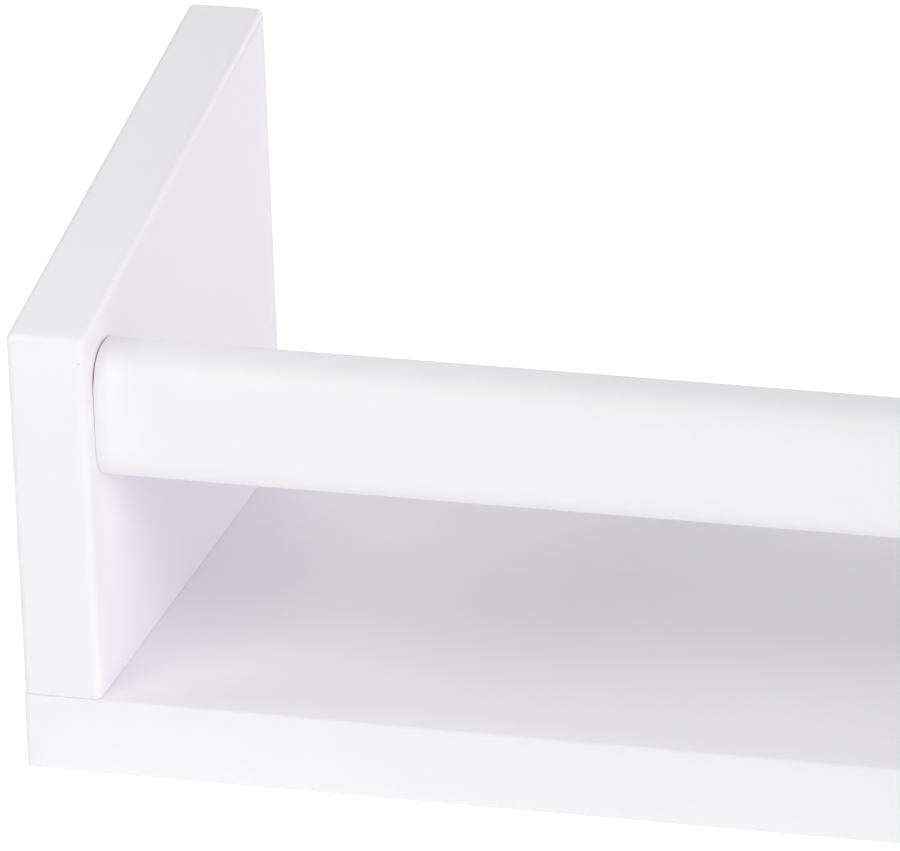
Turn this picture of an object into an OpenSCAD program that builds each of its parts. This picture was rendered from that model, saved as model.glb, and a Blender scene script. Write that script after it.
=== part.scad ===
// One tier of a wall bookcase: a bottom board, two end panels that stand on it and a rounded front rail.
// Millimetres. The origin is the middle of the board's underside, the front faces -Y and +Z is up.

/* [Bottom board] */
// Length of the board, end to end
shelf_length = 600; // [300:10:1200]
// Depth of the board and of the end panels, front to back
shelf_depth = 150; // [136:1:260]
// Thickness of the board
board_t = 19; // [16:0.5:25]
// Radius of the board's eased edges
board_edge_r = 0.7; // [0.5:0.1:3]
// Radius of the board's upright corners
board_corner_r = 1.5; // [0.5:0.1:3]

/* [End panels] */
// Thickness of an end panel
panel_t = 19; // [16:0.5:28]
// Height of an end panel's front edge above the board
panel_front_h = 91; // [88:1:240]
// Climb of an end panel's top edge towards the back, in degrees
panel_climb = 10; // [0:0.5:20]
// Radius of an end panel's eased edges
panel_edge_r = 2; // [0.5:0.1:4]
// Step from the board's end in to an end panel's outer face
panel_inset = 0.2; // [0:0.1:4]

/* [Front rail] */
// Height of the rail's section
rail_h = 32.5; // [28:0.5:36]
// Thickness of the rail, front to back
rail_t = 19; // [17.5:0.5:28]
// Radius of the rail's rounded long edges
rail_edge_r = 8.5; // [1:0.5:8.5]
// Clear height between the board and the rail
rail_clear_h = 52.5; // [30:0.5:53]
// Step from the end panels' front edges back to the rail's face
rail_setback = 5.5; // [0:0.5:40]
// Hairline gap between an end of the rail and its end panel
rail_end_gap = 0.3; // [0.1:0.05:0.5]

/* [Joint screws] */
// Length of a joint screw
screw_l = 50; // [40:1:60]
// Diameter over a joint screw's thread
screw_d = 6.4; // [5:0.1:7]
// Diameter of the plain collar under a joint screw's head
collar_d = 7; // [7:0.1:8]
// Length of that collar
collar_l = 10; // [6:0.5:14]
// Diameter of a joint screw's head
head_d = 10; // [9:0.1:11]
// Depth of a joint screw's countersunk head
head_h = 3; // [2:0.1:4]
// Length of a joint screw's blunt tip
tip_l = 3; // [2:0.5:5]
// Diameter at the end of that tip
tip_d = 4.4; // [3:0.1:5]
// Size across the flats of a joint screw's hexagon socket
socket_af = 4; // [3:0.1:5]
// Depth of a joint screw's hexagon socket
socket_h = 2.8; // [2:0.1:4]
// Distance from the front or back edge in to the joint screw under an end panel
base_screw_edge = 27; // [22:1:34]

/* [Dowels] */
// Diameter of a dowel under an end panel
base_dowel_d = 8; // [6:0.5:10]
// Length of a dowel under an end panel
base_dowel_l = 30; // [24:1:40]
// Chamfer on the ends of every dowel
dowel_chamfer = 1; // [0.5:0.1:1.5]
// Depth of a dowel's hole in the board
base_dowel_sink = 12; // [8:0.5:13]
// Distance from that joint screw on to the dowel beside it
base_dowel_step = 32; // [20:1:36]
// Diameter of the dowel at each end of the rail
rail_dowel_d = 6; // [5:0.5:7]
// Length of the dowel at each end of the rail
rail_dowel_l = 24; // [20:1:30]
// Depth of that dowel's hole in the end panel
rail_dowel_sink = 10; // [6:0.5:12]
// Distance from the rail's screw down to its dowel
rail_joint_gap = 14; // [13:0.5:15]

/* [Screw caps] */
// Diameter of a screw cap
cap_d = 13; // [12:0.1:16]
// Height of a screw cap above the end panel
cap_h = 1.4; // [0.9:0.1:2]
// Height of the straight rim under a screw cap's dome
cap_rim_h = 0.4; // [0.2:0.1:0.8]
// Diameter of the peg that a screw cap has in the screw's socket
cap_peg_d = 2.8; // [2:0.1:2.8]
// Length of a screw cap's peg
cap_peg_l = 1.8; // [1:0.1:1.9]

/* [Hanger plates] */
// Height of a hanger plate
plate_h = 50; // [46:1:64]
// Width of a hanger plate
plate_w = 13; // [12:0.1:14]
// Thickness of a hanger plate
plate_t = 1.6; // [1:0.1:2.5]
// Drop from the top of an end panel's back edge to its hanger plate's middle
plate_drop = 36; // [36:1:48]
// Diameter of the keyhole's round entry
key_entry_d = 9; // [8:0.1:9.4]
// Width of the keyhole's slot
key_slot_w = 4.6; // [4:0.1:5]
// Rise from the middle of the round entry to the top of the slot's travel
key_rise = 9; // [7:0.5:11]
// Depth of the pocket behind a hanger plate, for the wall screw's head
pocket_depth = 9; // [6:0.5:14]
// Room in that pocket all round the wall screw's head
pocket_room = 0.75; // [0.5:0.05:1]
// Distance from an end of a hanger plate in to its screw
plate_screw_edge = 6; // [5:0.5:7]
// Diameter of a hanger screw's shank
plate_screw_d = 3; // [2.5:0.1:3.5]
// Diameter of a hanger screw's head
plate_screw_head_d = 6; // [5:0.1:6.6]
// Length of a hanger screw
plate_screw_l = 16; // [12:1:25]
// Length of a hanger screw's point
plate_screw_tip_l = 6; // [4:0.5:8]
// Length of each arm pair of the cross in a hanger screw's head
cross_l = 3.3; // [2.4:0.1:3.4]
// Width of that cross's arms
cross_w = 0.9; // [0.6:0.1:1.2]
// Depth of that cross
cross_h = 0.8; // [0.5:0.1:0.9]

/* [Fits] */
// Clearance all round a dowel in its hole
dowel_fit = 0.05; // [0.02:0.01:0.1]
// Clearance all round a screw in its hole
screw_fit = 0.1; // [0.05:0.01:0.2]
// Space past the end of a dowel or a screw in its hole
end_space = 1; // [0.5:0.1:2]
// Depth of a joint screw's head below the face that it is sunk in
head_sink = 0.2; // [0.1:0.05:0.5]
// Clearance all round a hanger plate in its recess
plate_fit = 0.2; // [0.1:0.05:0.3]

/* [Hidden] */

$fn = 64;
lacquer = "whitesmoke";
beech = "burlywood";
zinc = "silver";
left = -1;
right = 1;
front = -1;
back = 1;
upper = 1;
lower = -1;

// Overlap that lets one cut run through a face or into the next cut
run_out = 1;

// Planes that the pieces share
front_y = -shelf_depth / 2;
back_y = shelf_depth / 2;
panel_outer_x = shelf_length / 2 - panel_inset;
panel_inner_x = panel_outer_x - panel_t;
panel_mid_x = panel_outer_x - panel_t / 2;
panel_front_z = board_t + panel_front_h;
panel_back_z = panel_front_z + shelf_depth * tan(panel_climb);
rail_end_x = panel_inner_x - rail_end_gap;
rail_mid_y = front_y + rail_setback + rail_t / 2;
rail_low_z = board_t + rail_clear_h;
rail_mid_z = rail_low_z + rail_h / 2;
rail_screw_z = rail_mid_z + rail_joint_gap / 2;
rail_dowel_z = rail_mid_z - rail_joint_gap / 2;
base_screw_y = back_y - base_screw_edge;
base_dowel_y = base_screw_y - base_dowel_step;

// A hexagon's size across its corners, for each unit across its flats
flats_to_corners = 1 / cos(30);

// The hanger plate stands on the panel's back edge, with its keyhole's round entry below the middle
plate_mid_z = panel_back_z - plate_drop;
key_entry_z = plate_mid_z - key_rise / 2;
key_top_z = key_entry_z + key_rise;
pocket_w = key_entry_d + 2 * pocket_room;
plate_end_z = (plate_h - plate_w) / 2;
plate_screw_z = plate_h / 2 - plate_screw_edge;
plate_screw_head_h = (plate_screw_head_d - plate_screw_d) / 2;

// The cap's dome is the top of a ball
cap_dome_h = cap_h - cap_rim_h;
cap_ball_r = (pow(cap_d / 2, 2) + pow(cap_dome_h, 2)) / (2 * cap_dome_h);

// A flat rectangle from [0, 0] to size, with round corners
module round_rect(size, r) {
    translate([r, 0]) square([size[0] - 2 * r, size[1]]);
    translate([0, r]) square([size[0], size[1] - 2 * r]);
    for (x = [r, size[0] - r], y = [r, size[1] - r])
        translate([x, y]) circle(r);
}

// An upright slot with round ends, from its lower centre to its upper one
module slot_2d(w, low, high) {
    translate([-w / 2, low]) square([w, high - low]);
    for (z = [low, high])
        translate([0, z]) circle(d = w);
}

// Stands a flat drawing of x and z up in the plane that faces the back, from y to y + depth
module against_back(y, depth) {
    translate([0, y + depth, 0]) rotate([90, 0, 0]) linear_extrude(depth) children();
}

// Draws a flat drawing of y and z across the shelf, from x to x + width
module across(x, width) {
    translate([x, 0, 0]) rotate([90, 0, 90]) linear_extrude(width) children();
}

// Makes a left-hand piece out of one drawn on the right, where side is left
module on_side(side) {
    mirror([side == left ? 1 : 0, 0, 0]) children();
}

// A joint screw with its head's face at the origin, pointing along +Z
module joint_screw() {
    difference() {
        rotate_extrude() polygon([
            [0, 0], [head_d / 2, 0], [collar_d / 2, head_h], [collar_d / 2, head_h + collar_l],
            [screw_d / 2, head_h + collar_l], [screw_d / 2, screw_l - tip_l], [tip_d / 2, screw_l], [0, screw_l]
        ]);
        translate([0, 0, -run_out])
            cylinder(h = socket_h + run_out, d = socket_af * flats_to_corners, $fn = 6);
    }
}

// The stepped hole that a joint screw sits in, from the face that its head is sunk in
module joint_screw_hole() {
    wide = screw_fit;
    rotate_extrude() polygon([
        [0, -run_out], [head_d / 2 + wide, -run_out], [head_d / 2 + wide, head_sink],
        [collar_d / 2 + wide, head_sink + head_h], [collar_d / 2 + wide, head_sink + head_h + collar_l + wide],
        [screw_d / 2 + wide, head_sink + head_h + collar_l + wide],
        [screw_d / 2 + wide, head_sink + screw_l + end_space], [0, head_sink + screw_l + end_space]
    ]);
}

// A dowel along +Z, with its ends chamfered and the same space past each in its hole
module dowel(d, l) {
    slim = d / 2 - dowel_chamfer;
    translate([0, 0, end_space / 2]) rotate_extrude() polygon([
        [0, 0], [slim, 0], [d / 2, dowel_chamfer], [d / 2, l - dowel_chamfer], [slim, l], [0, l]
    ]);
}

// Places the screws under an end panel, heads down, each sunk from the board's underside
module at_base_screw(end) {
    translate([panel_mid_x, end * base_screw_y, 0]) children();
}

// Places the dowels under an end panel, at the bottom of their holes in the board
module at_base_dowel(end) {
    translate([panel_mid_x, end * base_dowel_y, board_t - base_dowel_sink]) children();
}

// Turns +Z inwards and starts at the end panel's outer face, at the rail's screw
module at_rail_screw() {
    translate([panel_outer_x, rail_mid_y, rail_screw_z]) rotate([0, -90, 0]) children();
}

// Turns +Z inwards and starts at the bottom of the rail dowel's hole in the end panel
module at_rail_dowel() {
    translate([panel_inner_x + rail_dowel_sink, rail_mid_y, rail_dowel_z]) rotate([0, -90, 0]) children();
}

// The hole that a dowel sits in, through both of the pieces that it joins
module dowel_hole(d, l) {
    cylinder(h = l + end_space, d = d + 2 * dowel_fit);
}

// Turns +Z into the end panel and starts at its hanger plate's face, at one of the plate's screws
module at_hanger_screw(end) {
    translate([panel_mid_x, back_y, plate_mid_z + end * plate_screw_z]) rotate([90, 0, 0]) children();
}

// The countersunk hole for a hanger screw, from the plate's face through to the screw's point
module hanger_screw_hole() {
    wide = screw_fit;
    rotate_extrude() polygon([
        [0, -run_out], [plate_screw_head_d / 2 + wide, -run_out], [plate_screw_head_d / 2 + wide, 0],
        [plate_screw_d / 2 + wide, plate_screw_head_h],
        [plate_screw_d / 2 + wide, plate_screw_l + end_space], [0, plate_screw_l + end_space]
    ]);
}

module bottom_board() {
    color(lacquer) difference() {
        intersection() {
            translate([-shelf_length / 2, front_y, 0])
                linear_extrude(board_t) round_rect([shelf_length, shelf_depth], board_corner_r);
            across(-shelf_length / 2, shelf_length)
                translate([front_y, 0]) round_rect([shelf_depth, board_t], board_edge_r);
            against_back(front_y, shelf_depth)
                translate([-shelf_length / 2, 0]) round_rect([shelf_length, board_t], board_edge_r);
        }
        for (side = [left, right]) on_side(side) for (end = [front, back]) {
            at_base_screw(end) joint_screw_hole();
            at_base_dowel(end) dowel_hole(base_dowel_d, base_dowel_l);
        }
    }
}

// The end panel's side view: square at the foot, its two top corners rounded where the edges meet
module panel_outline() {
    front_reach = panel_edge_r / tan((90 + panel_climb) / 2);
    back_reach = panel_edge_r / tan((90 - panel_climb) / 2);
    along = [cos(panel_climb), sin(panel_climb)];
    front_corner = [front_y, panel_front_z];
    back_corner = [back_y, panel_back_z];
    front_centre = [front_y + panel_edge_r, panel_front_z - front_reach];
    back_centre = [back_y - panel_edge_r, panel_back_z - back_reach];
    polygon([
        [front_y, board_t], [back_y, board_t], [back_y, back_centre[1]], back_centre,
        back_corner - back_reach * along, front_corner + front_reach * along,
        front_centre, [front_y, front_centre[1]]
    ]);
    for (centre = [front_centre, back_centre])
        translate(centre) circle(panel_edge_r);
}

module end_panel(side) {
    color(lacquer) on_side(side) difference() {
        intersection() {
            across(panel_inner_x, panel_t) panel_outline();
            translate([panel_inner_x, front_y, board_t])
                linear_extrude(panel_back_z) round_rect([panel_t, shelf_depth], panel_edge_r);
            // The section that eases the long top edges, laid along the climb
            translate([panel_inner_x, front_y, panel_front_z]) rotate([panel_climb, 0, 0])
                translate([0, 0, -panel_back_z]) against_back(-panel_back_z, 2 * panel_back_z + shelf_depth)
                    round_rect([panel_t, panel_back_z], panel_edge_r);
        }
        for (end = [front, back]) {
            at_base_screw(end) joint_screw_hole();
            at_base_dowel(end) dowel_hole(base_dowel_d, base_dowel_l);
        }
        at_rail_screw() joint_screw_hole();
        at_rail_dowel() dowel_hole(rail_dowel_d, rail_dowel_l);
        hanger_recess();
    }
}

// The shallow recess for a hanger plate, the pocket for the wall screw's head and the two screw holes
module hanger_recess() {
    translate([panel_mid_x, 0, 0]) {
        against_back(back_y - plate_t, plate_t + run_out)
            slot_2d(plate_w + 2 * plate_fit, plate_mid_z - plate_end_z, plate_mid_z + plate_end_z);
        against_back(back_y - plate_t - pocket_depth, pocket_depth + run_out)
            slot_2d(pocket_w, key_entry_z, key_top_z);
    }
    for (end = [upper, lower])
        at_hanger_screw(end) hanger_screw_hole();
}

module front_rail() {
    color(lacquer) difference() {
        across(-rail_end_x, 2 * rail_end_x)
            translate([front_y + rail_setback, rail_low_z]) round_rect([rail_t, rail_h], rail_edge_r);
        for (side = [left, right]) on_side(side) {
            at_rail_screw() joint_screw_hole();
            at_rail_dowel() dowel_hole(rail_dowel_d, rail_dowel_l);
        }
    }
}

module base_screw(side, end) {
    color(zinc) on_side(side) at_base_screw(end) translate([0, 0, head_sink]) joint_screw();
}

module base_dowel(side, end) {
    color(beech) on_side(side) at_base_dowel(end) dowel(base_dowel_d, base_dowel_l);
}

module rail_screw(side) {
    color(zinc) on_side(side) at_rail_screw() translate([0, 0, head_sink]) joint_screw();
}

module rail_dowel(side) {
    color(beech) on_side(side) at_rail_dowel() dowel(rail_dowel_d, rail_dowel_l);
}

// A low domed disc on the panel's outer face, with a peg in the screw's socket
module screw_cap(side) {
    color(lacquer) on_side(side) at_rail_screw() rotate_extrude() {
        intersection() {
            translate([0, cap_ball_r - cap_h]) circle(cap_ball_r, $fn = 240);
            translate([0, -cap_h]) square([cap_d / 2, cap_h]);
        }
        translate([0, -cap_rim_h]) square([cap_peg_d / 2, cap_rim_h + cap_peg_l]);
    }
}

// A steel strip with round ends, its keyhole open upwards from the round entry
module hanger_plate(side) {
    color(zinc) on_side(side) difference() {
        translate([panel_mid_x, 0, 0]) against_back(back_y - plate_t, plate_t)
            slot_2d(plate_w, plate_mid_z - plate_end_z, plate_mid_z + plate_end_z);
        translate([panel_mid_x, 0, 0]) against_back(back_y - plate_t - run_out, plate_t + 2 * run_out) {
            translate([0, key_entry_z]) circle(d = key_entry_d);
            slot_2d(key_slot_w, key_entry_z, key_top_z);
        }
        for (end = [upper, lower])
            at_hanger_screw(end) hanger_screw_hole();
    }
}

// A countersunk screw with a cross recess, its head's face level with the plate's
module hanger_screw(side, end) {
    color(zinc) on_side(side) at_hanger_screw(end) difference() {
        rotate_extrude() polygon([
            [0, 0], [plate_screw_head_d / 2, 0], [plate_screw_d / 2, plate_screw_head_h],
            [plate_screw_d / 2, plate_screw_l - plate_screw_tip_l], [0, plate_screw_l]
        ]);
        for (turn = [0, 90]) rotate(turn)
            translate([-cross_l / 2, -cross_w / 2, -run_out]) cube([cross_l, cross_w, run_out + cross_h]);
    }
}

bottom_board();
end_panel(left);  // left_end_panel
end_panel(right);  // right_end_panel
front_rail();
base_screw(left, front);  // left_front_base_screw
base_screw(left, back);  // left_back_base_screw
base_screw(right, front);  // right_front_base_screw
base_screw(right, back);  // right_back_base_screw
base_dowel(left, front);  // left_front_base_dowel
base_dowel(left, back);  // left_back_base_dowel
base_dowel(right, front);  // right_front_base_dowel
base_dowel(right, back);  // right_back_base_dowel
rail_screw(left);  // left_rail_screw
rail_screw(right);  // right_rail_screw
rail_dowel(left);  // left_rail_dowel
rail_dowel(right);  // right_rail_dowel
screw_cap(left);  // left_screw_cap
screw_cap(right);  // right_screw_cap
hanger_plate(left);  // left_hanger_plate
hanger_plate(right);  // right_hanger_plate
hanger_screw(left, upper);  // left_upper_hanger_screw
hanger_screw(left, lower);  // left_lower_hanger_screw
hanger_screw(right, upper);  // right_upper_hanger_screw
hanger_screw(right, lower);  // right_lower_hanger_screw
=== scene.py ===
import math

import bmesh
import bpy
from mathutils import Matrix, Vector


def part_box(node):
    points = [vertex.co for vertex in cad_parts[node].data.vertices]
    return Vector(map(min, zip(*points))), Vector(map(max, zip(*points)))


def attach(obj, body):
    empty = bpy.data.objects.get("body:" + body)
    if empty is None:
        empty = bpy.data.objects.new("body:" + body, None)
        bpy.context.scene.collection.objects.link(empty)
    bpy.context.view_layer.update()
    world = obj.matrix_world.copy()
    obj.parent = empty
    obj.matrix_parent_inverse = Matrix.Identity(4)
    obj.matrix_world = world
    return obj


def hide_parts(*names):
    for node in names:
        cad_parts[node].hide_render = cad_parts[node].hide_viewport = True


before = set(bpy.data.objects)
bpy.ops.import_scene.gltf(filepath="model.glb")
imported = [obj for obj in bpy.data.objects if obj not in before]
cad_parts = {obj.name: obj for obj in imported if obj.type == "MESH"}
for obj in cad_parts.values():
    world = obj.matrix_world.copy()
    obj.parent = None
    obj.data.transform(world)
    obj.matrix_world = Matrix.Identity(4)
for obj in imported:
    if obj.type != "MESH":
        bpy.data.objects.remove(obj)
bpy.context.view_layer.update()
print("frame loaded,", len(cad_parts), "CAD nodes")

# Lengths in the dictionaries are in millimetres, unless a note beside one says otherwise
mm = 0.001
level = 0.001 * mm             # points closer than this along an axis count as level
weld = 0.002 * mm              # edges shorter than this are closed up
up = Vector((0, 0, 1))
axes = {"x": 0, "y": 1, "z": 2}
sides = ("left", "right")
ends = ("front", "back")


# Shared tools for meshes

# A box between two corners
def block(low, high):
    bm = bmesh.new()
    bmesh.ops.create_cube(bm, size=1.0)
    bmesh.ops.scale(bm, vec=high - low, verts=bm.verts)
    bmesh.ops.translate(bm, vec=(low + high) / 2, verts=bm.verts)
    return bm


def reachAlong(edge, axis):
    return abs(edge.verts[0].co[axes[axis]] - edge.verts[1].co[axes[axis]])


# The edges of a box that run along an axis
def edgesAlong(bm, axis):
    return [e for e in bm.edges if reachAlong(e, axis) > level]


# The edges that lie square to an axis
def edgesSquareTo(bm, axis):
    return [e for e in bm.edges if reachAlong(e, axis) < level]


# Takes out edges too short to matter, and faces that they leave without area
def clearCollapsed(bm):
    bmesh.ops.remove_doubles(bm, verts=bm.verts, dist=weld)
    bmesh.ops.dissolve_degenerate(bm, edges=bm.edges, dist=weld)


# Rounds the given edges, radius being the step from the edge to where the rounding starts
def roundEdges(bm, edges, radius, segments):
    bmesh.ops.bevel(
        bm, geom=edges, offset=radius, offset_type="OFFSET", affect="EDGES",
        segments=segments, profile=0.5, material=-1, clamp_overlap=False)
    clearCollapsed(bm)


# A closed solid turned about +Z from (radius, height) points in millimetres
def turned(profile, steps):
    bm = bmesh.new()
    verts = [bm.verts.new((radius * mm, 0, height * mm)) for radius, height in profile]
    edges = [bm.edges.new(pair) for pair in zip(verts, verts[1:])]
    bmesh.ops.spin(
        bm, geom=verts + edges, cent=(0, 0, 0), axis=up, angle=math.tau, steps=steps, use_merge=True)
    bmesh.ops.remove_doubles(bm, verts=bm.verts, dist=weld)
    bmesh.ops.recalc_face_normals(bm, faces=bm.faces)
    return bm


# An upright slot with round ends, solid between two depths along +Y
def slotBlock(centreX, lowZ, highZ, width, fromY, toY, segments):
    reach = width / 2
    bm = block(Vector((centreX - reach, fromY, lowZ - reach)), Vector((centreX + reach, toY, highZ + reach)))
    roundEdges(bm, edgesAlong(bm, "y"), reach, segments)
    return bm


# The ridge of a screw's thread
thread = {
    "innerEnd": 0.9,           # share of the core's radius at which it starts, out of sight
    "foot": 0.4,               # its width at the core, as a share of the pitch
    "crest": (0.17, 0.23),     # where its crest starts and ends, as shares of the pitch
    "thinnest": 0.1,           # share of its height that is left where it runs out
}


# Winds a thread round +Z between two heights in millimetres; fades gives its share of the full height
def addThread(bm, coreRadius, crestRadius, pitch, low, high, steps, fades):
    inner, foot = coreRadius * thread["innerEnd"], thread["foot"]
    crestStart, crestEnd = thread["crest"]
    section = (
        (inner, 0), (coreRadius, 0), (crestRadius, crestStart), (crestRadius, crestEnd), (coreRadius, foot),
        (inner, foot))
    verts = [bm.verts.new((radius * mm, 0, (low + rise * pitch) * mm)) for radius, rise in section]
    face = bm.faces.new(verts)
    turns = (high - low) / pitch - foot
    count = round(turns * steps)
    old = set(bm.verts) - set(verts)
    bmesh.ops.spin(
        bm, geom=verts + list(face.edges) + [face], cent=(0, 0, 0), axis=up, angle=math.tau * turns,
        steps=count, dvec=up * (turns * pitch * mm / count), use_merge=False)
    ridge = [v for v in bm.verts if v not in old]
    bmesh.ops.holes_fill(bm, edges=[e for e in bm.edges if e.is_boundary], sides=len(section))
    for vert in ridge:
        radius = math.hypot(vert.co.x, vert.co.y)
        share = max(thread["thinnest"], min(1, fades(vert.co.z / mm)))
        slim = (inner * mm + (radius - inner * mm) * share) / radius
        vert.co.x *= slim
        vert.co.y *= slim
    bmesh.ops.recalc_face_normals(bm, faces=bm.faces)


def placed(bm, matrix):
    bmesh.ops.transform(bm, matrix=matrix, verts=bm.verts)
    return bm


# The matrix that stands a piece made along +Z on a CAD node's box, pointing along the given direction
def standOn(node, direction):
    low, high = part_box(node)
    direction = Vector(direction)
    reach = Vector([half * d for half, d in zip((high - low) / 2, direction)])
    turn = direction.to_track_quat("Z", "Y").to_matrix().to_4x4()
    return Matrix.Translation((low + high) / 2 - reach) @ turn


def temporaryObject(bm, materials):
    mesh = bpy.data.meshes.new("temporary")
    bm.to_mesh(mesh)
    bm.free()
    for material in materials:
        mesh.materials.append(material)
    item = bpy.data.objects.new("temporary", mesh)
    bpy.context.scene.collection.objects.link(item)
    return item


# Cuts closed shapes out of a closed shape; the cut walls take the last of the materials
def cutOut(bm, cutters, materials):
    body = temporaryObject(bm, materials)
    tools = []
    for cutter in cutters:
        for face in cutter.faces:
            face.material_index = len(materials) - 1
        tools.append(temporaryObject(cutter, materials))
    for tool in tools:
        cut = body.modifiers.new("cut", "BOOLEAN")
        cut.object = tool
        cut.operation = "DIFFERENCE"
        cut.solver = "EXACT"
    bpy.context.view_layer.update()
    result = bmesh.new()
    result.from_object(body, bpy.context.evaluated_depsgraph_get())
    for item in [body] + tools:
        mesh = item.data
        bpy.data.objects.remove(item)
        bpy.data.meshes.remove(mesh)
    clearCollapsed(result)
    return result


# Makes the finished piece: smooth across soft edges, sharp across hard ones, even on flat faces
def addPiece(bm, name, node, materials, sharpAngle=32):
    for edge in bm.edges:
        edge.smooth = edge.calc_face_angle(0) < math.radians(sharpAngle)
    for face in bm.faces:
        face.smooth = True
    mesh = bpy.data.meshes.new(name)
    bm.to_mesh(mesh)
    bm.free()
    for material in materials:
        mesh.materials.append(material)
    piece = bpy.data.objects.new(name, mesh)
    bpy.context.scene.collection.objects.link(piece)
    evenShading = piece.modifiers.new("evenShading", "WEIGHTED_NORMAL")
    evenShading.keep_sharp = True
    evenShading.weight = 100
    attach(piece, "root")
    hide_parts(node)
    return piece


# Shared tools for materials

# An sRGB hex colour as the linear one that sockets take
def linear(hexColour):
    channels = [int(hexColour[i:i + 2], 16) / 255 for i in (0, 2, 4)]
    return [c / 12.92 if c <= 0.04045 else ((c + 0.055) / 1.055) ** 2.4 for c in channels] + [1.0]


# One node with its settings; an input is a value, or another node's output to link in
def addNode(tree, kind, inputs=None, **settings):
    node = tree.nodes.new("ShaderNode" + kind)
    for key, value in settings.items():
        setattr(node, key, value)
    for key, value in (inputs or {}).items():
        if isinstance(value, bpy.types.NodeSocket):
            tree.links.new(value, node.inputs[key])
        else:
            node.inputs[key].default_value = value
    return node


# A new material, its emptied node tree, and the place on the piece that its patterns follow
def startMaterial(name):
    material = bpy.data.materials.new(name)
    material.use_nodes = True
    tree = material.node_tree
    tree.nodes.clear()
    place = addNode(tree, "TexCoord").outputs["Object"]
    return material, tree, place


# Ends a material in a Principled shader with these inputs
def finishMaterial(tree, inputs):
    shader = addNode(tree, "BsdfPrincipled", inputs)
    addNode(tree, "OutputMaterial", {"Surface": shader.outputs["BSDF"]})


# The scale of a noise pattern whose blotches are about size millimetres wide
def noiseScale(size):
    return 0.5 / (size * mm)


# Two colours mixed by a pattern, between two of its values; a colour is an sRGB hex or another node's output
def mixColours(tree, pattern, fromColour, toColour, low=0.35, high=0.65, **settings):
    spread = addNode(tree, "MapRange", {"Value": pattern, "From Min": low, "From Max": high}, **settings)
    start, end = [linear(colour) if isinstance(colour, str) else colour for colour in (fromColour, toColour)]
    # The Mix node numbers its sockets: 0 is the factor, 6 and 7 are the colours, and output 2 is their mix
    mix = addNode(tree, "Mix", {0: spread.outputs["Result"], 6: start, 7: end}, data_type="RGBA")
    return mix.outputs[2]


# A noise pattern, most of which lies between 0.3 and 0.7, spread over a range of roughness
def roughnessFrom(tree, pattern, smoothest, roughest):
    spread = addNode(tree, "MapRange", {
        "Value": pattern, "From Min": 0.3, "From Max": 0.7, "To Min": smoothest, "To Max": roughest})
    return spread.outputs["Result"]


# Materials

lacquer = {
    "colour": "F4F3F6",
    "thinColour": "F2F1F4",
    "cloudSize": 60.0,         # slow change of the film's thickness
    "sheenSize": 18.0,         # patches that are a little more or less glossy
    "roughness": (0.46, 0.54),
    "rippleSize": 2.4,         # orange peel
    "rippleDepth": 0.004,
    "fleckColour": "E0E0D8",
    "fleckPlace": (-0.28205, -0.075, 0.10395),     # m
    "fleckRadius": 0.5,
    "fleckCore": 0.3,          # share of that radius that has the full colour
}


# Satin lacquer, sprayed on primed fibreboard: an even soft white with the faint ripple of a spray gun
def makeLacquer(name, fleck=False):
    material, tree, place = startMaterial(name)
    cloud = addNode(tree, "TexNoise", {
        "Vector": place, "Scale": noiseScale(lacquer["cloudSize"]), "Detail": 3.0})
    colour = mixColours(tree, cloud.outputs["Fac"], lacquer["thinColour"], lacquer["colour"])
    if fleck:
        away = addNode(tree, "VectorMath", {0: place, 1: lacquer["fleckPlace"]}, operation="DISTANCE")
        reach = lacquer["fleckRadius"] * mm
        colour = mixColours(
            tree, away.outputs["Value"], lacquer["fleckColour"], colour, lacquer["fleckCore"] * reach, reach,
            interpolation_type="SMOOTHSTEP")
    sheen = addNode(tree, "TexNoise", {"Vector": place, "Scale": noiseScale(lacquer["sheenSize"])})
    ripple = addNode(tree, "TexNoise", {"Vector": place, "Scale": noiseScale(lacquer["rippleSize"])})
    bump = addNode(tree, "Bump", {"Height": ripple.outputs["Fac"], "Distance": lacquer["rippleDepth"] * mm})
    finishMaterial(tree, {
        "Base Color": colour,
        "Roughness": roughnessFrom(tree, sheen.outputs["Fac"], *lacquer["roughness"]),
        "IOR": 1.5,
        "Normal": bump.outputs["Normal"],
    })
    return material


fibreboard = {
    "colour": "B08C62",
    "darkColour": "8E6D49",
    "fibreSize": 0.7,
    "fibreDepth": 0.12,
}


# Medium-density fibreboard, drilled and sawn: dry brown fibres, matt, seen in holes and on the rail's ends
def makeFibreboard():
    material, tree, place = startMaterial("fibreboardDrilled")
    fibres = addNode(tree, "TexNoise", {
        "Vector": place, "Scale": noiseScale(fibreboard["fibreSize"]), "Detail": 5.0, "Roughness": 0.7})
    bump = addNode(tree, "Bump", {
        "Height": fibres.outputs["Fac"], "Distance": fibreboard["fibreDepth"] * mm})
    finishMaterial(tree, {
        "Base Color": mixColours(
            tree, fibres.outputs["Fac"], fibreboard["darkColour"], fibreboard["colour"]),
        "Roughness": 0.9,
        "IOR": 1.45,
        "Normal": bump.outputs["Normal"],
    })
    return material


zinc = {
    "colour": "D2D5D8",
    "dullColour": "B6BABF",
    "spangleSize": 1.6,
    "roughness": (0.26, 0.4),
    "grainSize": 0.25,
    "grainDepth": 0.006,
}


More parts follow.
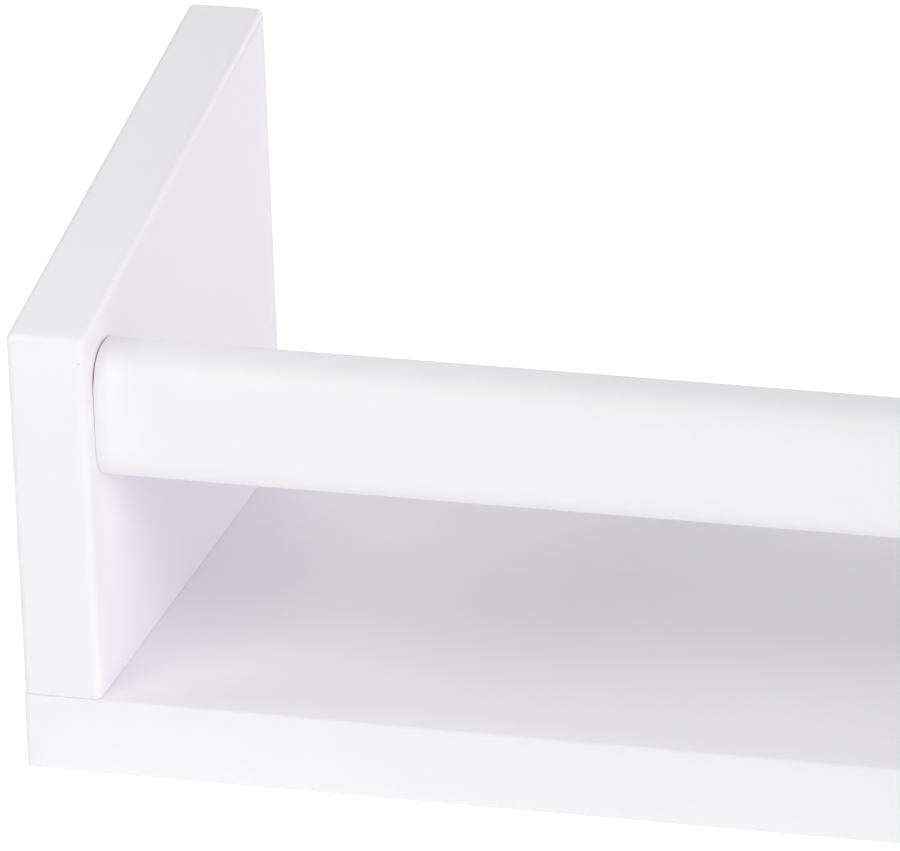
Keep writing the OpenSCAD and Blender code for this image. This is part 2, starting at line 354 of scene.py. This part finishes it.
# Zinc plating on pressed steel: bright bluish grey, softly clouded, with a fine satin grain
def makeZinc():
    material, tree, place = startMaterial("zincPlatedSteel")
    spangle = addNode(tree, "TexNoise", {
        "Vector": place, "Scale": noiseScale(zinc["spangleSize"]), "Detail": 3.0, "Roughness": 0.6})
    grain = addNode(tree, "TexNoise", {
        "Vector": place, "Scale": noiseScale(zinc["grainSize"]), "Detail": 3.0})
    bump = addNode(tree, "Bump", {"Height": grain.outputs["Fac"], "Distance": zinc["grainDepth"] * mm})
    finishMaterial(tree, {
        "Base Color": mixColours(tree, spangle.outputs["Fac"], zinc["dullColour"], zinc["colour"]),
        "Metallic": 1.0,
        "Roughness": roughnessFrom(tree, spangle.outputs["Fac"], *zinc["roughness"]),
        "Normal": bump.outputs["Normal"],
    })
    return material


beech = {
    "colour": "DDB98C",
    "darkColour": "C0935F",
    "flameColour": "A8774A",
    "ringSize": 1.3,           # growth rings across the dowel
    "fleckSize": 0.35,         # the short dark rays that beech shows
    "fleckAt": (0.62, 0.7),    # values of the pattern between which the flecks turn dark
    "fleckDepth": 0.03,
    "grainStretch": 0.08,      # pattern's scale along the grain, as a share of its scale across
}


# Turned beech: pale pinkish brown, straight grain along the dowel, with short dark flecks
def makeBeech(name, along):
    material, tree, place = startMaterial(name)
    stretch = [1.0, 1.0, 1.0]
    stretch[axes[along]] = beech["grainStretch"]
    grainPlace = addNode(tree, "Mapping", {"Vector": place, "Scale": stretch}).outputs["Vector"]
    rings = addNode(tree, "TexNoise", {
        "Vector": grainPlace, "Scale": noiseScale(beech["ringSize"]), "Detail": 4.0, "Roughness": 0.6})
    flecks = addNode(tree, "TexNoise", {"Vector": grainPlace, "Scale": noiseScale(beech["fleckSize"])})
    wood = mixColours(tree, rings.outputs["Fac"], beech["darkColour"], beech["colour"])
    bump = addNode(tree, "Bump", {"Height": flecks.outputs["Fac"], "Distance": beech["fleckDepth"] * mm})
    finishMaterial(tree, {
        "Base Color": mixColours(tree, flecks.outputs["Fac"], wood, beech["flameColour"], *beech["fleckAt"]),
        "Roughness": 0.62,
        "IOR": 1.45,
        "Normal": bump.outputs["Normal"],
    })
    return material


capPlastic = {
    "colour": "F1F1F2",
    "shadeColour": "EDEDEF",
    "sparkSize": 0.45,         # texture of the spark-eroded mould
    "sparkDepth": 0.01,
    "roughness": (0.46, 0.56),
    "milkiness": 0.06,         # share of the light that goes in and comes out again
    "lightReach": 1.2,
}


# Moulded polyethylene: soft matt white, with the fine even grain of its mould
def makeCapPlastic():
    material, tree, place = startMaterial("polyethyleneMoulded")
    grain = addNode(tree, "TexNoise", {
        "Vector": place, "Scale": noiseScale(capPlastic["sparkSize"]), "Detail": 3.0})
    bump = addNode(tree, "Bump", {
        "Height": grain.outputs["Fac"], "Distance": capPlastic["sparkDepth"] * mm})
    finishMaterial(tree, {
        "Base Color": mixColours(
            tree, grain.outputs["Fac"], capPlastic["shadeColour"], capPlastic["colour"]),
        "Roughness": roughnessFrom(tree, grain.outputs["Fac"], *capPlastic["roughness"]),
        "IOR": 1.51,
        "Subsurface Weight": capPlastic["milkiness"],
        "Subsurface Radius": [capPlastic["lightReach"] * mm] * 3,
        "Normal": bump.outputs["Normal"],
    })
    return material


lacquerWhite = makeLacquer("satinLacquerSprayed")
lacquerFlecked = makeLacquer("satinLacquerSprayedFleck", fleck=True)
fibreboardBare = makeFibreboard()
zincSteel = makeZinc()
beechUpright = makeBeech("beechTurnedUpright", "z")
beechLying = makeBeech("beechTurnedLying", "x")
plasticWhite = makeCapPlastic()
print("materials made")


# Fasteners, made once each along +Z and then copied into place

jointScrew = {
    "length": 50.0,
    "headWidth": 10.0,
    "headDepth": 3.0,
    "headRim": ((-0.25, 0), (-0.07, 0.06), (0, 0.2)),      # points of the rounded rim, out and up from it
    "collarWidth": 7.0,
    "collarLength": 10.0,
    "collarChamfer": 0.4,
    "coreWidth": 4.9,
    "coreStep": 0.3,           # from the collar's end to the core
    "tipLength": 3.0,
    "tipWidth": 3.4,
    "tipRim": ((0, -0.4), (-0.5, 0)),      # points of its chamfer, out and up from the rim
    "threadWidth": 6.4,
    "pitch": 3.0,
    "threadStart": 0.8,        # past the collar
    "threadEnd": 1.4,          # past the start of the tip
    "threadFades": (1.5, 2.2),             # lengths over which the thread grows and dies away
    "socketFlats": 4.0,
    "socketDepth": 2.8,
    "steps": 48,
    "threadSteps": 24,         # for each turn
}


def makeJointScrew():
    s = jointScrew
    headR, collarR = s["headWidth"] / 2, s["collarWidth"] / 2
    coreR, tipR = s["coreWidth"] / 2, s["tipWidth"] / 2
    collarEnd = s["headDepth"] + s["collarLength"]
    tipStart = s["length"] - s["tipLength"]
    profile = [(0, 0)] + [(headR + out, rise) for out, rise in s["headRim"]]
    profile += [
        (collarR, s["headDepth"]), (collarR, collarEnd - s["collarChamfer"]),
        (collarR - s["collarChamfer"], collarEnd), (coreR, collarEnd + s["coreStep"]), (coreR, tipStart)]
    profile += [(tipR + out, s["length"] + rise) for out, rise in s["tipRim"]]
    screw = turned(profile + [(0, s["length"])], s["steps"])
    socketR = s["socketFlats"] / math.sqrt(3) * mm
    socket = bmesh.new()
    bmesh.ops.create_cone(
        socket, cap_ends=True, segments=6, radius1=socketR, radius2=socketR, depth=2 * s["socketDepth"] * mm)
    screw = cutOut(screw, [socket], [zincSteel])
    start, end = collarEnd + s["threadStart"], tipStart + s["threadEnd"]
    grow, die = s["threadFades"]
    addThread(
        screw, coreR, s["threadWidth"] / 2, s["pitch"], start, end, s["threadSteps"],
        lambda z: min((z - start) / grow, (end - z) / die))
    return screw


hangerScrew = {
    "length": 16.0,
    "headWidth": 6.0,
    "headRim": ((-0.15, 0), (0, 0.12)),
    "threadWidth": 3.0,
    "neckLength": 1.2,         # plain shank under the head
    "coreWidth": 2.0,
    "coreStep": 0.4,           # from the neck's end to the core
    "tipLength": 4.0,
    "pitch": 1.35,
    "threadStart": 1.3,        # past the head
    "threadEnd": 0.6,          # short of the point
    "threadGrowth": 0.8,       # length over which the thread grows; it dies away along the tip
    "crossLength": 3.3,
    "crossWidth": 0.9,
    "crossDepth": 0.8,
    "crossTaper": 0.62,        # length of the cross at its bottom, as a share of its length at the face
    "crossProud": 0.01,        # how far its cutter stands out of the face
    "steps": 40,
    "threadSteps": 20,         # for each turn
}


def makeHangerScrew():
    s = hangerScrew
    headR, threadR, coreR = s["headWidth"] / 2, s["threadWidth"] / 2, s["coreWidth"] / 2
    headDepth = headR - threadR
    neckEnd = headDepth + s["neckLength"]
    profile = [(0, 0)] + [(headR + out, rise) for out, rise in s["headRim"]]
    profile += [
        (threadR, headDepth), (threadR, neckEnd), (coreR, neckEnd + s["coreStep"]),
        (coreR, s["length"] - s["tipLength"]), (0, s["length"])]
    screw = turned(profile, s["steps"])
    crossR = s["crossLength"] / math.sqrt(2) * mm
    arms = []
    for turn in (0, math.pi / 2):
        arm = bmesh.new()
        bmesh.ops.create_cone(
            arm, cap_ends=True, segments=4, radius1=crossR, radius2=s["crossTaper"] * crossR,
            depth=s["crossDepth"] * mm)
        bmesh.ops.rotate(arm, cent=(0, 0, 0), matrix=Matrix.Rotation(math.pi / 4, 3, "Z"), verts=arm.verts)
        bmesh.ops.scale(arm, vec=(1, s["crossWidth"] / s["crossLength"], 1), verts=arm.verts)
        bmesh.ops.rotate(arm, cent=(0, 0, 0), matrix=Matrix.Rotation(turn, 3, "Z"), verts=arm.verts)
        sink = (s["crossDepth"] / 2 - s["crossProud"]) * mm
        bmesh.ops.translate(arm, vec=(0, 0, sink), verts=arm.verts)
        arms.append(arm)
    screw = cutOut(screw, arms, [zincSteel])
    start, end = headDepth + s["threadStart"], s["length"] - s["threadEnd"]
    addThread(
        screw, coreR, threadR, s["pitch"], start, end, s["threadSteps"],
        lambda z: min((z - start) / s["threadGrowth"], (s["length"] - z) / s["tipLength"]))
    return screw


dowel = {
    "chamfer": 1.0,
    "flutes": 14,
    "pointsPerFlute": 4,
    "fluteDepth": 0.3,
    "holeSteps": 48,
    "sharpAngle": 50,          # degrees; only the bottoms of the flutes are sharper
}


# A beech dowel with glue flutes, as long and wide as its CAD node
def makeDowel(width, length):
    bm = bmesh.new()
    bmesh.ops.create_circle(
        bm, cap_ends=False, segments=dowel["flutes"] * dowel["pointsPerFlute"], radius=width / 2)
    for vert in bm.verts:
        # A whole number here is the middle of a flute, which one point of each group lies in
        turn = math.atan2(vert.co.y, vert.co.x) / math.tau * dowel["flutes"]
        if abs(turn - round(turn)) < 0.5 / dowel["pointsPerFlute"]:
            vert.co *= 1 - dowel["fluteDepth"] * mm / (width / 2)
    chamfer = dowel["chamfer"] * mm
    slim = (width / 2 - chamfer) / (width / 2)
    rim = list(bm.edges)
    bmesh.ops.scale(bm, vec=(slim, slim, 1), verts=bm.verts)
    for rise, grow in ((chamfer, 1 / slim), (length - 2 * chamfer, 1), (chamfer, slim)):
        step = bmesh.ops.extrude_edge_only(bm, edges=rim)["geom"]
        verts = [item for item in step if isinstance(item, bmesh.types.BMVert)]
        rim = [item for item in step if isinstance(item, bmesh.types.BMEdge)]
        bmesh.ops.scale(bm, vec=(grow, grow, 1), verts=verts)
        bmesh.ops.translate(bm, vec=(0, 0, rise), verts=verts)
    bmesh.ops.edgeloop_fill(bm, edges=[e for e in bm.edges if e.is_boundary])
    bmesh.ops.recalc_face_normals(bm, faces=bm.faces)
    return bm


cap = {
    "width": 13.0,
    "height": 1.4,
    "rimHeight": 0.4,
    "rimRound": 0.15,
    "pegWidth": 2.8,
    "pegLength": 1.8,
    "pegChamfer": 0.2,
    "domeSteps": 10,
    "steps": 64,
}


# A screw cap with its dome pointing along +Z and the foot of its peg at the origin
def makeCap():
    c = cap
    reach, dome = c["width"] / 2, c["height"] - c["rimHeight"]
    ball = (reach ** 2 + dome ** 2) / (2 * dome)
    pegR, foot = c["pegWidth"] / 2, c["pegLength"]
    rim = foot + c["rimHeight"]
    profile = [(0, 0), (pegR - c["pegChamfer"], 0), (pegR, c["pegChamfer"]), (pegR, foot)]
    profile += [(reach - c["rimRound"], foot), (reach, foot + c["rimRound"]), (reach, rim)]
    widest = math.asin(reach / ball)
    for step in range(1, c["domeSteps"] + 1):
        turn = widest * (1 - step / c["domeSteps"])
        profile.append((ball * math.sin(turn), rim + dome - ball * (1 - math.cos(turn))))
    return turned(profile, c["steps"])


# Holes, as cutters along +Z from the face that they start in

fits = {
    "dowel": 0.05,             # all round, as are the screw's and the plate's
    "screw": 0.1,
    "plate": 0.2,
    "endSpace": 1.0,           # past the end of a dowel or a screw
    "headSink": 0.2,           # from the face to a joint screw's head
    "runOut": 1.0,             # from the face outwards, so that a cutter cuts clean through it
}


def jointScrewHole():
    s, wide, sink = jointScrew, fits["screw"], fits["headSink"]
    headR, collarR, threadR = [s[width] / 2 + wide for width in ("headWidth", "collarWidth", "threadWidth")]
    collarEnd = sink + s["headDepth"] + s["collarLength"] + wide
    bottom = sink + s["length"] + fits["endSpace"]
    return turned([
        (0, -fits["runOut"]), (headR, -fits["runOut"]), (headR, sink), (collarR, sink + s["headDepth"]),
        (collarR, collarEnd), (threadR, collarEnd), (threadR, bottom), (0, bottom)], s["steps"])


def dowelHole(width, length):
    reach, bottom = width / mm / 2 + fits["dowel"], length / mm + fits["endSpace"]
    return turned([(0, 0), (reach, 0), (reach, bottom), (0, bottom)], dowel["holeSteps"])


def hangerScrewHole():
    s, wide = hangerScrew, fits["screw"]
    headR, threadR = s["headWidth"] / 2 + wide, s["threadWidth"] / 2 + wide
    headDepth = (s["headWidth"] - s["threadWidth"]) / 2
    bottom = s["length"] + fits["endSpace"]
    return turned([
        (0, -fits["runOut"]), (headR, -fits["runOut"]), (headR, 0), (threadR, headDepth),
        (threadR, bottom), (0, bottom)], s["steps"])


# The direction from an end of the shelf to its middle
def inward(side):
    return (1, 0, 0) if side == "left" else (-1, 0, 0)


# Where each hole starts, from the box of the fastener that it holds

def baseScrewHole(side, end):
    place = standOn(f"{side}_{end}_base_screw", up)
    return placed(jointScrewHole(), Matrix.Translation((0, 0, -fits["headSink"] * mm)) @ place)


def railScrewHole(side):
    start = Matrix.Translation(Vector(inward(side)) * -fits["headSink"] * mm)
    return placed(jointScrewHole(), start @ standOn(f"{side}_rail_screw", inward(side)))


def dowelHoleFor(node, direction):
    low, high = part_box(node)
    size = high - low
    length = size.dot(Vector([abs(d) for d in direction]))
    start = Matrix.Translation(Vector(direction) * -fits["endSpace"] / 2 * mm)
    return placed(dowelHole(min(size), length), start @ standOn(node, direction))


def baseHoles(side):
    holes = [baseScrewHole(side, end) for end in ends]
    return holes + [dowelHoleFor(f"{side}_{end}_base_dowel", up) for end in ends]


def railHoles(side):
    return [railScrewHole(side), dowelHoleFor(f"{side}_rail_dowel", inward(side))]


def hangerHoles(side):
    return [
        placed(hangerScrewHole(), standOn(f"{side}_{height}_hanger_screw", (0, -1, 0)))
        for height in ("upper", "lower")]


# Bottom board

board = {
    "edgeRadius": 0.7,
    "cornerRadius": 1.5,
    "segments": 6,
}


def addBoard():
    bm = block(*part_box("bottom_board"))
    roundEdges(bm, edgesAlong(bm, "z"), board["cornerRadius"] * mm, board["segments"])
    roundEdges(bm, edgesSquareTo(bm, "z"), board["edgeRadius"] * mm, board["segments"])
    bm = cutOut(bm, baseHoles("left") + baseHoles("right"), [lacquerWhite, fibreboardBare])
    addPiece(bm, "bottomBoard", "bottom_board", [lacquerWhite, fibreboardBare])


addBoard()
print("board made")


# End panels

endPanel = {
    "frontHeight": 91.0,
    "climb": 10.0,             # degrees
    "edgeRadius": 2.0,
    "rimShare": 0.98,          # of that radius for the long edges, which just misses the corners' centres
    "segments": 8,
    "footRadius": 0.4,
    "footSegments": 4,
}

# What the panels and the hanger plates share
plateSet = {
    "keyEntryWidth": 9.0,
    "keySlotWidth": 4.6,
    "keyRise": 9.0,
    "pocketDepth": 9.0,
    "pocketRoom": 0.75,
    "cutterSegments": 16,      # a quarter of a turn, for the recess and the pocket
    "plateSegments": 20,
    "keySlotSegments": 12,
    "keyEntrySteps": 48,
    "edgeRound": 0.25,
    "edgeSegments": 3,
    "edgeAngle": 50,           # degrees; sharper edges than this are rounded
}


# The middle of a hanger plate across its width, and the keyhole's lower and upper centre
def keyholeCentres(side):
    low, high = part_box(f"{side}_hanger_plate")
    middle = (low + high) / 2
    rise = plateSet["keyRise"] * mm
    return middle.x, middle.z - rise / 2, middle.z + rise / 2


def panelHoles(side):
    low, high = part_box(f"{side}_hanger_plate")
    centreX, entryZ, topZ = keyholeCentres(side)
    segments = plateSet["cutterSegments"]
    width = high.x - low.x
    beyond = high.y + fits["runOut"] * mm
    recess = slotBlock(
        centreX, low.z + width / 2, high.z - width / 2, width + 2 * fits["plate"] * mm, low.y, beyond,
        segments)
    pocketWidth = (plateSet["keyEntryWidth"] + 2 * plateSet["pocketRoom"]) * mm
    pocket = slotBlock(
        centreX, entryZ, topZ, pocketWidth, low.y - plateSet["pocketDepth"] * mm, beyond, segments)
    return [recess, pocket] + hangerHoles(side)


def addEndPanel(side, skin):
    low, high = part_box(f"{side}_end_panel")
    climb = math.radians(endPanel["climb"])
    radius = endPanel["edgeRadius"] * mm
    frontTop = low.z + endPanel["frontHeight"] * mm
    backTop = frontTop + (high.y - low.y) * math.tan(climb)
    bm = block(low, Vector((high.x, high.y, frontTop)))
    for vert in bm.verts:
        if vert.co.z > frontTop - mm and vert.co.y > 0:
            vert.co.z = backTop
    # The two top corners first, each with the reach that gives the same radius
    for edgeY, reach in ((low.y, radius / math.tan((math.pi / 2 + climb) / 2)),
                         (high.y, radius / math.tan((math.pi / 2 - climb) / 2))):
        corner = [e for e in bm.edges if all(
            abs(v.co.y - edgeY) < level and v.co.z > frontTop - mm for v in e.verts)]
        roundEdges(bm, corner, reach, endPanel["segments"])
    rims = [e for e in edgesSquareTo(bm, "x") if max(v.co.z for v in e.verts) > low.z + level]
    roundEdges(bm, rims, radius * endPanel["rimShare"], endPanel["segments"])
    foot = [e for e in bm.edges if max(v.co.z for v in e.verts) < low.z + level]
    roundEdges(bm, foot, endPanel["footRadius"] * mm, endPanel["footSegments"])
    holes = baseHoles(side) + railHoles(side) + panelHoles(side)
    bm = cutOut(bm, holes, [skin, fibreboardBare])
    addPiece(bm, f"{side}EndPanel", f"{side}_end_panel", [skin, fibreboardBare])


addEndPanel("left", lacquerFlecked)
addEndPanel("right", lacquerWhite)
print("end panels made")


# Front rail

rail = {
    "edgeRadius": 8.5,
    "segments": 16,
    "endRound": 0.12,
    "endSegments": 2,
    # The joint line's width at shares of the rail's height from the bottom up: open under the top edge, and
    # filled with lacquer towards the bottom
    "jointLine": (
        (0.0, 0.14), (0.1, 0.03), (0.26, 0.02), (0.5, 0.045), (0.62, 0.06), (0.74, 0.09), (0.8, 0.23),
        (0.88, 0.41), (1.0, 0.34)),
    "rows": (0.38, 0.5, 0.62),             # heights at which the flat sides get points, as shares too
    "cadJointLine": 0.3,
}


# The joint line's width at a share of the rail's height, between the two nearest given widths
def jointLineAt(share):
    for (below, narrow), (above, wide) in zip(rail["jointLine"], rail["jointLine"][1:]):
        if share <= above:
            return narrow + (wide - narrow) * max(0, share - below) / (above - below)
    return rail["jointLine"][-1][1]


def addRail():
    low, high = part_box("front_rail")
    height = high.z - low.z
    bm = block(low, high)
    roundEdges(bm, edgesAlong(bm, "x"), rail["edgeRadius"] * mm, rail["segments"])
    roundEdges(bm, edgesSquareTo(bm, "x"), rail["endRound"] * mm, rail["endSegments"])
    # The sawn ends are bare, which keeps the joint line dark
    for face in bm.faces:
        if abs(face.normal.x) > 0.5:
            face.material_index = 1
    # Rows of points up the flat sides, so that the joint line can change its width along them
    for share in rail["rows"]:
        bmesh.ops.bisect_plane(
            bm, geom=bm.verts[:] + bm.edges[:] + bm.faces[:], plane_co=(0, 0, low.z + share * height),
            plane_no=up, dist=level)
    for vert in bm.verts:
        step = rail["cadJointLine"] - jointLineAt((vert.co.z - low.z) / height)
        vert.co.x += math.copysign(step * mm, vert.co.x)
    bm = cutOut(bm, railHoles("left") + railHoles("right"), [lacquerWhite, fibreboardBare])
    addPiece(bm, "frontRail", "front_rail", [lacquerWhite, fibreboardBare])


addRail()
print("rail made")


# Hanger plates

def addHangerPlate(side):
    node = f"{side}_hanger_plate"
    low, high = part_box(node)
    reach = (high.x - low.x) / 2
    centreX, entryZ, topZ = keyholeCentres(side)
    bm = slotBlock(
        centreX, low.z + reach, high.z - reach, 2 * reach, low.y, high.y, plateSet["plateSegments"])
    past = fits["runOut"] * mm
    entryR = plateSet["keyEntryWidth"] / 2 * mm
    entry = bmesh.new()
    bmesh.ops.create_cone(
        entry, cap_ends=True, segments=plateSet["keyEntrySteps"], radius1=entryR, radius2=entryR,
        depth=high.y - low.y + 2 * past)
    turn = Matrix.Rotation(math.pi / 2, 4, "X")
    placed(entry, Matrix.Translation((centreX, (low.y + high.y) / 2, entryZ)) @ turn)
    slot = slotBlock(
        centreX, entryZ, topZ, plateSet["keySlotWidth"] * mm, low.y - past, high.y + past,
        plateSet["keySlotSegments"])
    bm = cutOut(bm, [entry, slot], [zincSteel])
    sharp = math.radians(plateSet["edgeAngle"])
    rims = [e for e in edgesSquareTo(bm, "y") if e.calc_face_angle(0) > sharp]
    roundEdges(bm, rims, plateSet["edgeRound"] * mm, plateSet["edgeSegments"])
    bm = cutOut(bm, hangerHoles(side), [zincSteel])
    addPiece(bm, f"{side}HangerPlate", node, [zincSteel])


for side in sides:
    addHangerPlate(side)
print("hanger plates made")


# Screws, dowels and caps

def copyPiece(master, name, node, materials, direction):
    addPiece(placed(master.copy(), standOn(node, direction)), name, node, materials)


def addDowel(name, node, width, length, material, direction):
    bm = placed(makeDowel(width, length), standOn(node, direction))
    addPiece(bm, name, node, [material], dowel["sharpAngle"])


def addFasteners():
    longScrew, shortScrew, button = makeJointScrew(), makeHangerScrew(), makeCap()
    for side in sides:
        inside = inward(side)
        outside = tuple(-d for d in inside)
        for end in ends:
            node = f"{side}_{end}_base_screw"
            copyPiece(longScrew, f"{side}{end.title()}BaseScrew", node, [zincSteel], up)
            node = f"{side}_{end}_base_dowel"
            low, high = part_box(node)
            addDowel(
                f"{side}{end.title()}BaseDowel", node, high.x - low.x, high.z - low.z, beechUpright, up)
        for height in ("upper", "lower"):
            node = f"{side}_{height}_hanger_screw"
            copyPiece(
                shortScrew, f"{side}{height.title()}HangerScrew", node, [zincSteel], (0, -1, 0))
        copyPiece(
            longScrew, f"{side}RailScrew", f"{side}_rail_screw", [zincSteel], inside)
        node = f"{side}_rail_dowel"
        low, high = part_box(node)
        addDowel(f"{side}RailDowel", node, high.z - low.z, high.x - low.x, beechLying, inside)
        copyPiece(button, f"{side}ScrewCap", f"{side}_screw_cap", [plasticWhite], outside)
    for master in (longScrew, shortScrew, button):
        master.free()


addFasteners()
print("fasteners made")


# Floor and background

studio = {
    "floorSize": 14.0,         # m
    "floorDrop": 0.2,          # below the board
    "floorColour": "F2F2F3",
    "toothSize": 1.5,          # the paper's faint texture
    "toothDepth": 0.01,
    "tableGlow": 0.4,          # light that comes up through the floor, as on a lit table
    # What the camera sees on top of that, near the shelf and far outside the light of the softboxes, and
    # the distances from the shelf's middle, in metres, between which the one turns into the other
    "floorLift": (0.18, 0.9),
    "liftReach": (0.5, 1.6),
}


def addFloor():
    bm = bmesh.new()
    bmesh.ops.create_grid(bm, x_segments=1, y_segments=1, size=studio["floorSize"] / 2)
    mesh = bpy.data.meshes.new("floor")
    bm.to_mesh(mesh)
    bm.free()
    floor = bpy.data.objects.new("floor", mesh)
    floor.location.z = -studio["floorDrop"] * mm
    bpy.context.scene.collection.objects.link(floor)
    material, tree, place = startMaterial("paperSweep")
    tooth = addNode(tree, "TexNoise", {"Vector": place, "Scale": noiseScale(studio["toothSize"])})
    bump = addNode(tree, "Bump", {"Height": tooth.outputs["Fac"], "Distance": studio["toothDepth"] * mm})
    paper = addNode(tree, "BsdfDiffuse", {
        "Color": linear(studio["floorColour"]), "Normal": bump.outputs["Normal"]})
    away = addNode(tree, "VectorMath", {0: place}, operation="LENGTH")
    (nearLift, farLift), (near, far) = studio["floorLift"], studio["liftReach"]
    lift = addNode(tree, "MapRange", {
        "Value": away.outputs["Value"], "From Min": near, "From Max": far,
        "To Min": nearLift, "To Max": farLift})
    path = addNode(tree, "LightPath")
    strength = addNode(
        tree, "Math", {0: path.outputs["Is Camera Ray"], 1: lift.outputs["Result"], 2: studio["tableGlow"]},
        operation="MULTIPLY_ADD")
    glow = addNode(tree, "Emission", {"Strength": strength.outputs[0]})
    lit = addNode(tree, "AddShader", {0: paper.outputs[0], 1: glow.outputs[0]})
    # Clear from below, so that the underside can be looked at
    below = addNode(tree, "NewGeometry").outputs["Backfacing"]
    clear = addNode(tree, "BsdfTransparent")
    sheet = addNode(tree, "MixShader", {0: below, 1: lit.outputs[0], 2: clear.outputs[0]})
    addNode(tree, "OutputMaterial", {"Surface": sheet.outputs[0]})
    # The glow is found by the rays that meet it, without a seam between the floor's triangles
    material.cycles.emission_sampling = "NONE"
    mesh.materials.append(material)


# White where the camera or a gloss looks past the floor; the softboxes and the floor give all the light
def setWorld():
    world = bpy.data.worlds.new("studio")
    bpy.context.scene.world = world
    world.use_nodes = True
    tree = world.node_tree
    tree.nodes.clear()
    path = addNode(tree, "LightPath")
    seen = addNode(
        tree, "Math", {0: path.outputs["Is Camera Ray"], 1: path.outputs["Is Glossy Ray"]},
        operation="MAXIMUM")
    white = addNode(tree, "Background", {"Color": linear("FFFFFF"), "Strength": seen.outputs[0]})
    addNode(tree, "OutputWorld", {"Surface": white.outputs[0]})


addFloor()
setWorld()
print("studio made")


# Lights

lights = {
    "aim": (-0.2, 0, 0.06),    # m
    "spread": 0.4,             # side of each softbox, as a share of its distance
    "frontTint": "FFFFFD",
    "backTint": "FAF7FF",
    # Each softbox: its turn round the shelf from straight in front, towards the right, and its rise, in
    # degrees, then its distance in metres and its power in watts
    "softboxes": {
        "frontLeft": (-30, 35, 0.75, 0.98),
        "frontLeftHigh": (-30, 58, 0.75, 0.68),
        "frontRight": (30, 35, 1.8, 5.7),
        "right": (60, 35, 3.6, 20.6),
        "rightLow": (60, 12, 3.6, 19.7),
        "backRight": (120, 35, 3.6, 18.3),
        "backLow": (150, 12, 1.8, 6.1),
        "backLeft": (-150, 35, 1.8, 2.75),
        "left": (-90, 35, 1.8, 7.0),
        "overhead": (0, 88, 1.8, 2.2),
    },
}


def addSoftbox(name, turn, rise, distance, power):
    lamp = bpy.data.lights.new(name, "AREA")
    lamp.shape = "SQUARE"
    lamp.size = lights["spread"] * distance
    lamp.energy = power
    lamp.color = linear(lights["backTint" if abs(turn) > 90 else "frontTint"])[:3]
    item = bpy.data.objects.new(name, lamp)
    turn, rise = math.radians(turn), math.radians(rise)
    away = Vector((math.sin(turn) * math.cos(rise), -math.cos(turn) * math.cos(rise), math.sin(rise)))
    item.location = Vector(lights["aim"]) + away * distance
    item.rotation_euler = away.to_track_quat("Z", "Y").to_euler()
    bpy.context.scene.collection.objects.link(item)


for name, settings in lights["softboxes"].items():
    addSoftbox(name, *settings)
print("lights made")


# Camera, solved from the straight edges of the board, the end panel and the rail in the photograph

camera = {
    "place": (0.47122, -2.29352, 1.07828),         # m
    "turn": (67.003, 1.963, 15.84),        # degrees
    "lens": 440.0,
    "sensor": 36.0,
}


def addCamera():
    data = bpy.data.cameras.new("camera")
    data.lens = camera["lens"]
    data.sensor_width = camera["sensor"]
    item = bpy.data.objects.new("camera", data)
    item.location = camera["place"]
    item.rotation_euler = [math.radians(angle) for angle in camera["turn"]]
    bpy.context.scene.collection.objects.link(item)
    bpy.context.scene.camera = item


addCamera()
bpy.context.scene.view_settings.view_transform = "Standard"
print("camera set")
